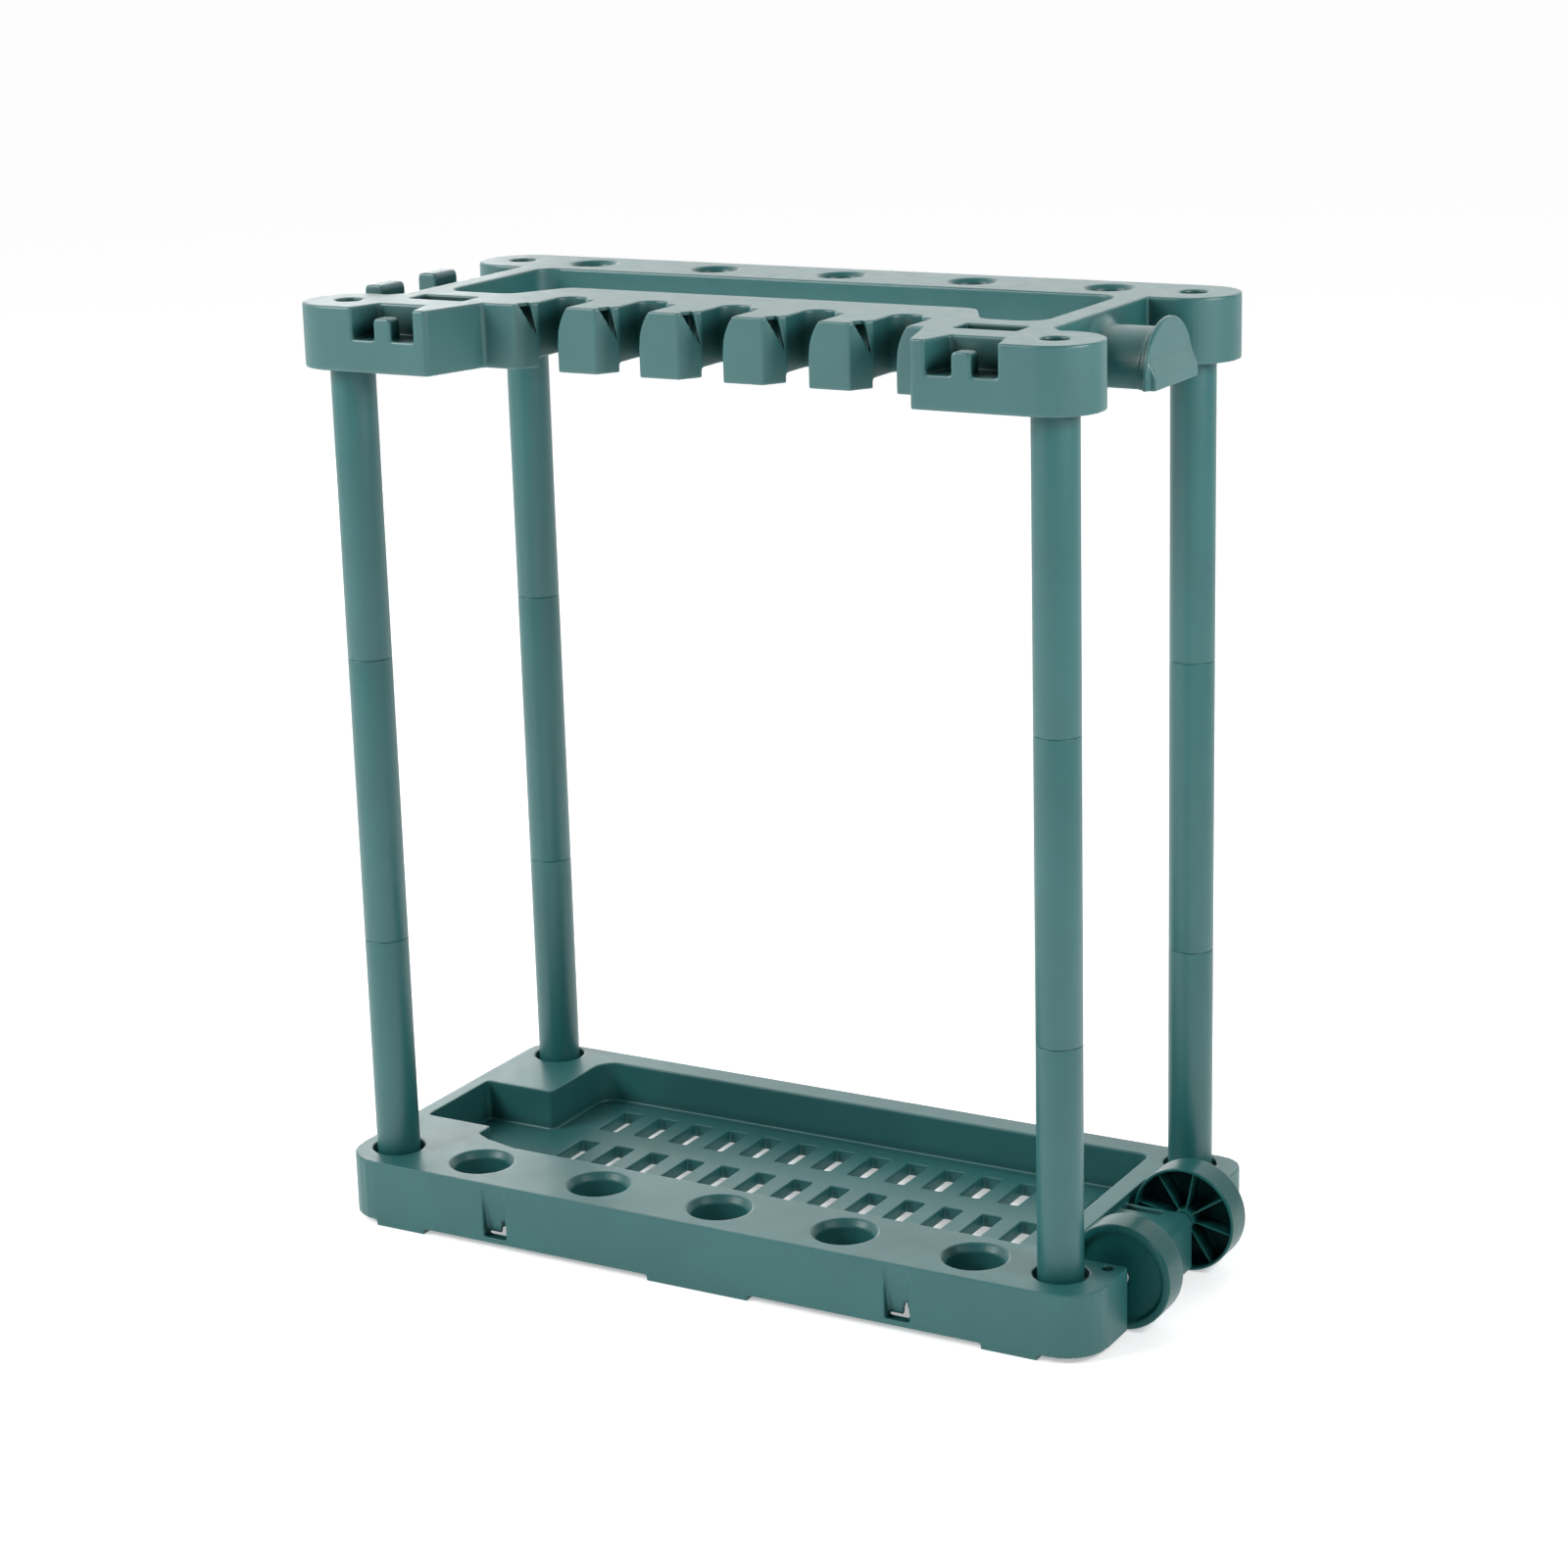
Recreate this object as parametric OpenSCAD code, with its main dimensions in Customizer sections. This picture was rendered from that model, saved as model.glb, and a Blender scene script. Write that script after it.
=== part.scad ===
// Garden tool rack: a moulded rack on four tube legs, a tray base and two wheels.
// X runs along the rack with the wheels at +X, -Y is the front with the handle slots, +Z is up.
// Sizes are in millimetres, and the ground is at Z = 0.

/* [Legs] */
// Distance between leg centres along the rack
leg_span_x = 650; // [620:5:720]
// Distance between leg centres across the rack
leg_span_y = 265; // [255:5:320]
// Outer diameter of a leg tube
tube_d = 38; // [34:0.5:42]
// Wall of a leg tube
tube_wall = 2.3; // [1.8:0.1:3]
// Length of one tube section, without its spigot
section_len = 253; // [180:1:320]
// Length of the spigot on top of a section
spigot_len = 45; // [30:1:48]
// Gap on the radius between a spigot and its socket
spigot_gap = 0.1; // [0.05:0.05:0.3]
// Height of the legs' lower ends above the ground
leg_seat_z = 3.5; // [3:0.5:8]
// Gap on the radius between a leg and its hole in the base
leg_gap = 0.2; // [0.1:0.1:0.4]

/* [Top rack] */
// Height of the rack moulding
rack_h = 54; // [52:1:70]
// Wall of the rack moulding
rack_wall = 3; // [2.5:0.25:3.5]
// Radius of the round corners over the legs
lobe_r = 39; // [36:0.5:44]
// Width of the two end rails
rail_w = 23; // [18:1:28]
// Distance from a leg's centre in to the rail's outer face
rail_inset = 24; // [20:1:28]
// Length of a front corner block from its leg's centre
block_len = 103; // [98:1:112]
// Slant of a corner block's inner side
block_slant = 18; // [12:1:28]
// Setback of the finger faces behind the corner blocks
finger_setback = 58.5; // [52:0.5:64]
// Depth of the front bar behind the finger faces
bar_depth = 105; // [98:1:110]
// Depth of the front bar at its two ends
bar_end_depth = 55; // [50:1:60]
// Length of each slanted step behind the front bar
step_len = 27; // [20:1:32]
// Offset towards the wheels of the step at the wheel end
step_shift = 13; // [0:1:16]
// Radius of the corners of the frame opening
frame_opening_r = 18; // [8:1:24]

/* [Handle slots] */
// Number of handle slots in the front bar
slot_count = 5; // [3:1:5]
// Distance between handle slots
slot_pitch = 78; // [70:0.5:80]
// Width of a handle slot
slot_w = 29; // [22:0.5:32]
// Depth of a handle slot from the finger faces
slot_depth = 58; // [45:1:64]
// Offset of the row of slots towards the wheels
slot_shift = 9.5; // [0:0.5:20]
// Width of the bevel beside each slot
bevel_w = 12; // [9:0.5:14]
// Depth of the bevel beside each slot
bevel_d = 18; // [12:0.5:22]
// Width of the three-cornered window in each bevel
window_w = 10.5; // [6:0.5:12]
// Height of the three-cornered window in each bevel
window_h = 25; // [18:1:36]
// Distance of each window from its bevel's front edge
window_edge = 3.5; // [1:0.5:4]
// Rise of the slot walls' bottom edge behind the bevels
slot_rise = 8; // [0:1:14]
// Height of the rounded edge on each finger
finger_round_h = 28; // [18:1:34]
// Inset of the rounded edge at the top of each finger
finger_round_w = 10; // [6:0.5:11]

/* [Holes for handles] */
// Number of handle holes in the rear bar and in the base
hole_count = 5; // [3:1:5]
// Diameter of a hole in the rear bar
rear_hole_d = 36; // [28:1:40]
// Diameter of the dished rim round a rear hole
rear_rim_d = 43; // [41:1:50]
// Distance between the rear holes
rear_hole_pitch = 125; // [110:1:128]
// Depth of the dished rims in the rear bar
rear_rim_h = 4; // [2:0.5:6]
// Diameter of a handle cup in the base
cup_d = 48; // [40:1:50]
// Diameter of the dished rim round a cup
cup_rim_d = 57; // [55:1:62]
// Depth of the dished rims in the base
cup_rim_h = 6; // [3:0.5:8]
// Distance between the cups
cup_pitch = 121; // [110:1:125]
// Offset of the row of cups towards the wheels
cup_shift = 6; // [0:1:10]
// Floor height of a cup
cup_floor_z = 9; // [7:0.5:12]

/* [Hanging notches] */
// Distance from a leg's centre to the middle of its notch
notch_inset = 60; // [56:1:66]
// Width of a notch at the front
notch_w = 62; // [56:1:66]
// Width of a notch at the back
notch_back_w = 46; // [40:1:54]
// Distance that a notch reaches in from the front
notch_reach = 30; // [24:1:34]
// Height of a notch
notch_h = 26.5; // [20:0.5:30]
// Width of the peg in a notch
peg_w = 17; // [12:0.5:20]
// Thickness of the peg from front to back
peg_t = 14; // [9:0.5:16]
// Distance of the peg's top below the deck
peg_drop = 8; // [3:0.5:10]
// Length of the slit behind a notch
slit_w = 54; // [40:1:58]
// Width of the slit behind a notch
slit_d = 25; // [16:1:27]
// Distance of the slit behind the front face
slit_back = 62.5; // [58:0.5:66]

/* [End hooks] */
// Width of an end hook across the rack
hook_w = 32; // [24:1:38]
// Distance from the middle of the rail to the row of hooks' middle
hook_shift = 21; // [0:1:24]
// Distance between the two hooks
hook_pitch = 79; // [70:1:92]
// Gap between the rail and a hook's tip
hook_gap = 29; // [20:1:32]
// Thickness of a hook's tip
hook_tip_t = 19; // [10:0.5:22]
// Thickness of a hook's arm
hook_arm_t = 14; // [10:1:20]
// Rise of the hook's tip over the deck
hook_rise = 4; // [2:0.5:10]

/* [Hose saddle] */
// Radius of the saddle's end flange
flange_r = 46; // [40:0.5:48]
// Thickness of the saddle's end flange
flange_t = 4; // [3:0.5:6]
// Radius of the saddle's core
saddle_r = 37; // [30:0.5:38]
// Length of the saddle from the rail to the flange's outer face
saddle_len = 57; // [45:1:60]
// Offset of the saddle towards the back
saddle_shift = 8; // [0:1:10]
// Radius of the flare where the saddle meets the rail
saddle_flare = 9; // [5:0.5:10]
// Width of the raised band beside the flange
collar_w = 6; // [4:0.5:8]
// Height of the raised band beside the flange
collar_h = 3; // [2:0.5:4]
// Width of the grip ledge on the flange
ledge_w = 84; // [48:1:86]
// Thickness of the grip ledge
ledge_t = 6; // [4:0.5:9]
// Distance of the ledge's upper edge below the deck
ledge_drop = 31; // [28:1:36]
// Height of the ledge's slope
ledge_slope_h = 13; // [8:0.5:15]

/* [Base] */
// Height of the base above the ground
base_h = 60; // [56:1:70]
// Wall of the base moulding
base_wall = 3; // [2.5:0.25:3.5]
// Distance from the legs' centres to the base's left end
base_left = 35; // [32:0.5:40]
// Distance from the legs' centres to the base's front
base_front = 42.5; // [40:0.5:46]
// Distance from the legs' centres to the base's back
base_back = 26; // [26:0.5:34]
// Distance from the legs' centres to the right end of the corner blocks
base_right = 44; // [42:0.5:46]
// Radius of the base's front corners
corner_r = 36; // [20:1:36]
// Radius of the base's back corners
back_corner_r = 25; // [15:1:26]
// Height of the wall's lower edge above the ground
skirt_z = 5; // [3:0.5:7]
// Diameter of the recess round a leg
leg_recess_d = 46; // [45:0.5:47]
// Depth of the recess round a leg
leg_recess_h = 10; // [6:0.5:14]
// Length of a corner foot
corner_foot_l = 50; // [40:1:60]
// Length of a middle foot
middle_foot_l = 98; // [60:1:110]
// Width of the feet from front to back
foot_w = 12; // [8:0.5:16]
// Distance of the peg holes in the right blocks from the block's inner side
peg_hole_inset = 9; // [8:0.5:12]
// Distance of the peg holes from the block's right end
peg_hole_end = 14; // [12:0.5:16]
// Diameter of the peg holes in the right blocks
peg_hole_d = 10; // [5:0.5:11]

/* [Tray] */
// Height of the tray's floor
tray_z = 22; // [18:0.5:26]
// Thickness of the tray's floor
tray_floor_t = 3; // [2.5:0.25:3.5]
// Distance from the legs' centres to the tray's front edge
tray_front = 40.5; // [38:0.5:44]
// Distance from the legs' centres to the tray's back edge
tray_back = 1; // [0:0.5:8]
// Distance from the left end to the tray
tray_left = 14; // [12:0.5:18]
// Distance from the right leg's centre to the tray
tray_right = 38; // [34:0.5:40]
// Width of the blocks round the left legs
leg_block_w = 48; // [44:0.5:54]
// Distance from the front left leg's centre to its block's back face
front_block_d = 76.5; // [60:0.5:80]
// Distance from the back left leg's centre to its block's front face
back_block_d = 91.5; // [60:0.5:95]
// Width of the rim at the tray's right end
end_rim_w = 19; // [16:0.5:22]
// Number of slots along the tray's floor
floor_cols = 14; // [8:1:14]
// Number of rows of slots in the tray's floor
floor_rows = 3; // [1:1:3]
// Distance between floor slots along the tray
floor_pitch_x = 37.4; // [32:0.2:38]
// Distance between rows of floor slots
floor_pitch_y = 78; // [64:1:78]
// Width of a floor slot
floor_slot_w = 19; // [10:0.5:22]
// Length of a floor slot
floor_slot_l = 49; // [30:1:52]
// Depth of the collar under each floor slot
floor_collar_h = 9; // [4:0.5:12]
// Wall of the collar under each floor slot
floor_collar_t = 1.5; // [1.2:0.1:2.5]

/* [Front clip recesses] */
// Distance from the middle to each clip recess
clip_x = 197; // [185:1:205]
// Width of a clip recess
clip_w = 23; // [16:1:28]
// Depth of a clip recess at its lower end
clip_d = 8; // [5:0.5:10]
// Height of the lip under a clip recess
clip_lip = 5; // [3:0.5:8]
// Height of the gap through a clip's foot
clip_gap_t = 3; // [2:0.5:4]
// Width of the gap's three-cornered end
clip_gap_w = 4; // [3:0.5:6]
// Height of the gap's three-cornered end
clip_gap_h = 22; // [14:1:28]

/* [Wheels] */
// Diameter of a wheel
wheel_d = 91; // [84:1:92]
// Width of a wheel
wheel_w = 29; // [20:0.5:30]
// Thickness of a wheel's rim
rim_t = 2.5; // [2:0.25:4]
// Thickness of a wheel's closed face
web_t = 3; // [2:0.25:4]
// Depth of the dish in a wheel's closed face
dish_d = 4.5; // [4:0.25:6]
// Width of the flat ring round the dish
dish_ring = 7; // [4:0.5:10]
// Radius of a wheel's hub
hub_r = 9; // [8:0.5:12]
// Number of ribs in a wheel
rib_count = 8; // [5:1:12]
// Thickness of a wheel's ribs
rib_t = 1.5; // [1.2:0.1:2.5]
// Setback of the ribs from the wheel's open side
rib_setback = 3; // [1:0.5:6]
// Diameter of the axle
axle_d = 8; // [6:0.5:10]
// Gap on the radius between the axle and a wheel
wheel_gap = 0.08; // [0.05:0.01:0.1]
// Distance of the axle from the right legs' centres
axle_out = 31.5; // [29:0.5:33]
// Gap between a wheel and the housing beside it
side_gap = 2; // [1:0.25:3]
// Length of the axle housing between the wheels
housing_len = 101; // [90:1:104]
// Offset of the wheels towards the front
axle_shift = 9.5; // [6:0.5:12]
// Height of the axle housing's top
housing_z = 53; // [52:0.5:56]
// Radius of the housing's outer upper edge
housing_edge_r = 8; // [3:0.5:10]
// Gap between a wheel and the corner block beside it
bay_gap = 7; // [6.5:0.5:9]
// Radius of an axle cap
cap_r = 8; // [6:0.5:9]
// Thickness of an axle cap
cap_t = 3.8; // [3:0.1:4]

/* [Leg screws] */
// Diameter of the well over each screw
well_d = 23; // [16:1:26]
// Diameter of a screw's shank
screw_d = 4; // [3:0.5:5]
// Length of a screw's shank
screw_len = 14; // [10:1:20]
// Diameter of a screw's head
head_d = 9; // [7:0.5:12]
// Height of a screw's head
head_h = 3; // [2:0.25:4]
// Thickness of the plates that a screw clamps
plate_t = 3; // [2.5:0.25:4]

/* [Hidden] */
$fn = 64;

eps = 0.01;
// Steps in each rounded corner of an outline
arc_steps = 6;
// Radius of small moulded corners
small_r = 4;
// Thickness of the ribs inside the mouldings
rib_wall = 2.5;
// Thickness of the seat under each leg
seat_t = 2.5;
// Offset of the slits from the notches
slit_shift = 11;
// Offsets of the slotted floor from the middle of the tray
floor_shift_x = 44;
floor_shift_y = -12;
// Size of the step in the tray's front left corner
tray_step = 16;
// Gap on the radius between a screw's shank and its hole
screw_gap = 0.2;
// Gaps on the radius between the axle and the housing, and between the axle and a cap
housing_gap = 0.05;
cap_fit = 0.03;
// Turn of the wheel's first rib
rib_turn = 11;
// Strap hole in the housing's top
strap_hole = [36, 8];
leg_x = leg_span_x / 2;
leg_y = leg_span_y / 2;
wheel_r = wheel_d / 2;
axle_r = axle_d / 2;
spigot_d = tube_d - 2 * tube_wall - 2 * spigot_gap;
rack_z = leg_seat_z + 3 * section_len;
deck_z = rack_z + rack_h;

// Places in the plan of the rack, from the middle between the legs
front_y = -leg_y - lobe_r;
finger_y = front_y + finger_setback;
rail_out = leg_x - rail_inset;
rail_in = rail_out - rail_w;
bar_back_y = finger_y + bar_depth;
step_y = finger_y + bar_end_depth;
step_x = leg_x - block_len - block_slant / 2;
rear_in_y = leg_y - lobe_r;
notch_x = leg_x - notch_inset;
first_slot_x = slot_shift - slot_pitch * (slot_count - 1) / 2;
slot_x = [for (i = [0 : slot_count - 1]) first_slot_x + i * slot_pitch];

// Places in the plan of the base
base_x0 = -leg_x - base_left;
base_x1 = leg_x + base_right;
base_y0 = -leg_y - base_front;
base_y1 = leg_y + base_back;
tray_x0 = base_x0 + tray_left;
tray_x1 = leg_x - tray_right;
tray_y0 = -leg_y + tray_front;
tray_y1 = leg_y + tray_back;
end_x = tray_x1 + end_rim_w;
block_x = -leg_x + leg_block_w;
floor_x = (tray_x0 + tray_x1) / 2 + floor_shift_x;
floor_y = (tray_y0 + tray_y1) / 2 + floor_shift_y;

// The axle and the wheels
axle_x = leg_x + axle_out;
axle_z = wheel_r;
front_wheel_y = -axle_shift - housing_len / 2 - side_gap;
rear_wheel_y = -axle_shift + housing_len / 2 + side_gap;
housing_x = axle_x + axle_r + 5.5;
bay_y0 = front_wheel_y - wheel_w - bay_gap;
bay_y1 = rear_wheel_y + wheel_w + bay_gap;
cap_gap = 0.2;
cap_seat = wheel_w - dish_d + cap_gap;
axle_end = cap_seat + cap_t - 1;

// The origin lies on the ground under the middle of the whole object's box
mid_x = (axle_x + wheel_r - leg_x - lobe_r) / 2;
mid_y = (leg_y + lobe_r + base_y0) / 2;

plastic = "cadetblue";
plastic_dark = "darkslategray";
steel = "silver";

// Outline through the corners [x, y, radius], each turned into an arc
function unit(v) = v / norm(v);
function arc_at(a, b, c, r) = r == 0 ? [b] :
    let (u = unit(a - b))
    let (w = unit(c - b))
    let (half = acos(u * w) / 2)
    let (centre = b + unit(u + w) * r / sin(half))
    let (first = b + u * r / tan(half) - centre)
    let (turn = (180 - 2 * half) * sign(cross(b - a, c - b)))
    [for (i = [0 : arc_steps])
        let (t = atan2(first.y, first.x) + turn * i / arc_steps)
        centre + r * [cos(t), sin(t)]];
function flat(p) = [p.x, p.y];
function rounded(path) =
    let (n = len(path))
    [for (i = [0 : n - 1])
        each arc_at(flat(path[(i + n - 1) % n]), flat(path[i]), flat(path[(i + 1) % n]), path[i][2])];

module placed() {
    translate([-mid_x, -mid_y, 0]) children();
}

module at_legs() {
    for (x = [-leg_x, leg_x], y = [-leg_y, leg_y]) translate([x, y, 0]) children();
}

module both_ends() {
    children();
    mirror([1, 0, 0]) children();
}

// Prism along Y of an outline drawn in X and Z
module along_y(y0, y1) {
    translate([0, y1, 0]) rotate([90, 0, 0]) linear_extrude(height = y1 - y0) children();
}

// The rack seen from above

module slot_plan(x) {
    translate([x, finger_y + slot_depth - slot_w / 2]) circle(d = slot_w);
    translate([x - slot_w / 2, front_y]) square([slot_w, finger_setback + slot_depth - slot_w / 2]);
    polygon([[x - slot_w / 2, finger_y + bevel_d], [x - slot_w / 2 - bevel_w, finger_y],
        [x - slot_w / 2 - bevel_w, front_y], [x, front_y], [x, finger_y + bevel_d]]);
}

module block_plan() {
    inner_x = leg_x - block_len;
    polygon(rounded([[leg_x, front_y, 0], [leg_x, -leg_y + rail_inset, 0], [rail_in, step_y, 0],
        [inner_x - block_slant, step_y, 0], [inner_x - block_slant, finger_y, 0],
        [inner_x, front_y, small_r]]));
}

module rack_outer_plan() {
    at_legs() circle(r = lobe_r);
    both_ends() block_plan();
    translate([-leg_x, rear_in_y]) square([leg_span_x, 2 * lobe_r]);
    translate([-rail_out, finger_y]) square([2 * rail_out, leg_y - finger_y]);
}

module frame_opening_plan() {
    r = frame_opening_r;
    polygon(rounded([[-rail_in, rear_in_y, r], [-rail_in, step_y, r], [-step_x, step_y, r],
        [-step_x + step_len, bar_back_y, r],
        [step_x + step_shift - step_len, bar_back_y, r], [step_x + step_shift, step_y, r],
        [rail_in, step_y, r], [rail_in, rear_in_y, r]]));
}

module slit_plan() {
    translate([notch_x - slit_w / 2 - slit_shift, front_y + slit_back]) square([slit_w, slit_d]);
}

module rear_hole_places() {
    for (i = [0 : hole_count - 1]) {
        translate([(i - (hole_count - 1) / 2) * rear_hole_pitch, leg_y]) children();
    }
}

module rack_plan() {
    difference() {
        rack_outer_plan();
        frame_opening_plan();
        both_ends() slit_plan();
        rear_hole_places() circle(d = rear_hole_d);
        for (x = slot_x) slot_plan(x);
    }
}

module notch_plan(grow = 0) {
    front = notch_w / 2 + grow;
    back = notch_back_w / 2 + grow;
    translate([notch_x, front_y])
        polygon([[-front, -1], [front, -1], [front, 0], [back, notch_reach + grow],
            [-back, notch_reach + grow], [-front, 0]]);
}

// Space over the rounded edge on the left of each finger
module finger_edge(x, inset = 0) {
    r = (pow(finger_round_h, 2) + pow(finger_round_w, 2)) / (2 * finger_round_w);
    low_z = deck_z - finger_round_h;
    left = x + slot_w / 2;
    difference() {
        translate([left - 1, finger_y - 1, low_z - inset])
            cube([finger_round_w + inset + 1, slot_depth - slot_w / 2 + 1, finger_round_h + inset + 1]);
        translate([left + r, finger_y - 2, low_z])
            rotate([-90, 0, 0]) cylinder(r = r - inset, h = slot_depth + 4, $fn = 128);
    }
}

// Space under the walls round a slot, which end higher than the fingers' front parts
module slot_relief(x) {
    grow = 1.25 * rack_wall;
    translate([x - slot_w / 2 - grow, finger_y + bevel_d, rack_z - 1])
        cube([slot_w + 2 * grow, slot_depth - bevel_d + grow, slot_rise + 1]);
}

// Three-cornered window through the bevel on the left of a slot
module bevel_window(x) {
    near = window_edge;
    far = near + window_w;
    tip = far + window_w / 2;
    translate([x - slot_w / 2 - bevel_w, finger_y, deck_z])
        rotate([0, 0, atan2(bevel_d, bevel_w)])
        translate([0, rack_wall + 1, 0]) rotate([90, 0, 0]) linear_extrude(height = 2 * rack_wall + 1)
        polygon([[near, 1], [far, 1], [tip, -window_h]]);
}

module leg_socket_solid() {
    translate([0, 0, rack_z - eps]) cylinder(d = tube_d + 2, h = rack_h);
    for (a = [0 : 90 : 270]) {
        rotate([0, 0, a + 45]) translate([0, -rib_wall / 2, rack_z]) cube([lobe_r, rib_wall, rack_h]);
    }
}

module rack_ribs() {
    for (i = [0 : hole_count]) {
        translate([(i - hole_count / 2) * rear_hole_pitch - rib_wall / 2, rear_in_y, rack_z + rack_h / 2])
            cube([rib_wall, 2 * lobe_r, rack_h / 2]);
    }
    for (x = slot_x) {
        translate([x - rib_wall / 2, finger_y + slot_depth, rack_z + rack_h / 3])
            cube([rib_wall, bar_depth - slot_depth, rack_h]);
    }
}

module rack_hollow() {
    difference() {
        translate([0, 0, rack_z - 1]) linear_extrude(height = rack_h - rack_wall + 1)
            offset(delta = -rack_wall) rack_plan();
        at_legs() leg_socket_solid();
        both_ends() translate([0, 0, deck_z - notch_h - rack_wall]) linear_extrude(height = rack_h)
            notch_plan(rack_wall);
        for (x = slot_x) finger_edge(x, rack_wall);
        rear_hole_places() translate([0, 0, deck_z - 2 * rear_rim_h])
            cylinder(d = rear_rim_d + small_r, h = rack_h);
        rack_ribs();
    }
}

module peg() {
    top_z = deck_z - peg_drop;
    along_y(front_y, front_y + peg_t) translate([notch_x, 0])
        polygon(rounded([[-peg_w / 2, deck_z - notch_h - eps, 0], [peg_w / 2, deck_z - notch_h - eps, 0],
            [peg_w / 2, top_z, small_r], [-peg_w / 2, top_z, small_r]]));
}

module end_hook(y) {
    root_x = -rail_out + rack_wall / 2;
    arm_x = -rail_out - hook_gap;
    tip_x = arm_x - hook_tip_t;
    bend = hook_gap / 2 - 1;
    along_y(y - hook_w / 2, y + hook_w / 2)
        polygon(rounded([[root_x, rack_z, 0], [root_x, deck_z - rack_wall, 0],
            [-rail_out, deck_z - rack_wall, 0], [-rail_out, rack_z + hook_arm_t, bend],
            [arm_x, rack_z + hook_arm_t, bend], [arm_x, deck_z + hook_rise, small_r],
            [tip_x, deck_z + hook_rise, small_r], [tip_x, rack_z, small_r * 2]]));
}

// Half drum along X with straight sides down to the rack's lower edge
module arch(x0, x1, r) {
    axis_z = deck_z - 1 - flange_r;
    translate([x0, saddle_shift, axis_z]) rotate([0, 90, 0]) cylinder(r = r, h = x1 - x0);
    translate([x0, saddle_shift - r, rack_z]) cube([x1 - x0, 2 * r, axis_z - rack_z]);
}

module saddle_flare_ring() {
    axis_z = deck_z - 1 - flange_r;
    translate([rail_out, saddle_shift, axis_z]) rotate([0, 90, 0]) rotate_extrude() difference() {
        square([saddle_r + saddle_flare, saddle_flare]);
        translate([saddle_r + saddle_flare, saddle_flare]) circle(r = saddle_flare);
    }
    translate([rail_out, saddle_shift, rack_z]) linear_extrude(height = axis_z - rack_z) difference() {
        translate([0, -saddle_r - saddle_flare]) square([saddle_flare, 2 * (saddle_r + saddle_flare)]);
        for (s = [-1, 1]) translate([saddle_flare, s * (saddle_r + saddle_flare)]) circle(r = saddle_flare);
    }
}

module hose_saddle() {
    end_x1 = rail_out + saddle_len;
    end_x0 = end_x1 - flange_t;
    difference() {
        union() {
            arch(rail_out - rack_wall / 2, end_x0 + eps, saddle_r);
            arch(end_x0 - collar_w, end_x0 + eps, saddle_r + collar_h);
            arch(end_x0, end_x1, flange_r);
            saddle_flare_ring();
            along_y(saddle_shift - ledge_w / 2, saddle_shift + ledge_w / 2)
                polygon([[end_x1 - eps, rack_z], [end_x1 + ledge_t, rack_z],
                    [end_x1 + ledge_t, deck_z - ledge_drop - ledge_slope_h],
                    [end_x1 - eps, deck_z - ledge_drop]]);
        }
        translate([0, 0, -eps]) arch(rail_out, end_x0, saddle_r - rack_wall);
        translate([0, 0, rack_z - flange_r]) translate([rail_out - flange_r, -leg_y, 0])
            cube([2 * saddle_len + flange_r, leg_span_y, flange_r]);
    }
}

module screw_well() {
    spigot_top = rack_z + spigot_len;
    translate([0, 0, rack_z - 1]) cylinder(r = spigot_d / 2 + spigot_gap, h = spigot_len + 1);
    translate([0, 0, rack_z]) cylinder(r = screw_d / 2 + screw_gap, h = rack_h + 1);
    translate([0, 0, spigot_top + plate_t]) cylinder(d = well_d, h = rack_h);
}

module top_rack() {
    color(plastic) placed() difference() {
        union() {
            difference() {
                translate([0, 0, rack_z]) linear_extrude(height = rack_h) rack_plan();
                both_ends() translate([0, 0, deck_z - notch_h]) linear_extrude(height = rack_h) notch_plan();
                for (x = slot_x) finger_edge(x);
                rack_hollow();
                for (x = slot_x) bevel_window(x);
                for (x = slot_x) slot_relief(x);
            }
            both_ends() peg();
            for (s = [-1, 1]) end_hook(-hook_shift + s * hook_pitch / 2);
            hose_saddle();
        }
        at_legs() screw_well();
        rear_hole_places() translate([0, 0, deck_z - rear_rim_h])
            cylinder(d1 = rear_hole_d, d2 = rear_rim_d, h = rear_rim_h + eps);
    }
}

// A leg section: an open tube with a closed spigot on top
module leg_section(x, y, level) {
    bore_d = spigot_d + 2 * spigot_gap;
    inner_d = spigot_d - 2 * tube_wall;
    color(plastic) placed() translate([x, y, leg_seat_z + level * section_len]) difference() {
        union() {
            cylinder(d = tube_d, h = section_len);
            cylinder(d = spigot_d, h = section_len + spigot_len);
        }
        translate([0, 0, -1]) cylinder(d = bore_d, h = section_len - plate_t + 1);
        translate([0, 0, -1]) cylinder(d = inner_d, h = section_len + spigot_len - plate_t + 1);
        cylinder(d = screw_d, h = section_len + spigot_len + 1);
    }
}

module leg_screws() {
    seat = rack_z + spigot_len + plate_t;
    color(steel) placed() at_legs() translate([0, 0, seat]) {
        cylinder(d = head_d, h = head_h);
        translate([0, 0, -screw_len]) cylinder(d = screw_d - 0.1, h = screw_len + eps);
    }
}

// The base seen from above

module base_plan() {
    polygon(rounded([[base_x0, base_y0, corner_r], [base_x1, base_y0, corner_r],
        [base_x1, bay_y0, small_r / 2], [end_x, bay_y0, small_r / 2],
        [end_x, bay_y1, small_r / 2], [base_x1, bay_y1, small_r / 2],
        [base_x1, base_y1, back_corner_r], [base_x0, base_y1, back_corner_r]]));
}

module tray_plan() {
    r = 2.5 * small_r;
    front_face = -leg_y + front_block_d;
    back_face = leg_y - back_block_d;
    polygon(rounded([[tray_x0, front_face, small_r], [block_x, front_face, small_r],
        [block_x, tray_y0 + tray_step, small_r], [block_x + tray_step, tray_y0 + tray_step / 2, small_r],
        [block_x + 3 * tray_step, tray_y0, small_r], [tray_x1, tray_y0, r], [tray_x1, tray_y1, r],
        [block_x + 2, tray_y1, 2 * r], [block_x + 2, back_face, small_r],
        [tray_x0, back_face, small_r]]));
}

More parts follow.
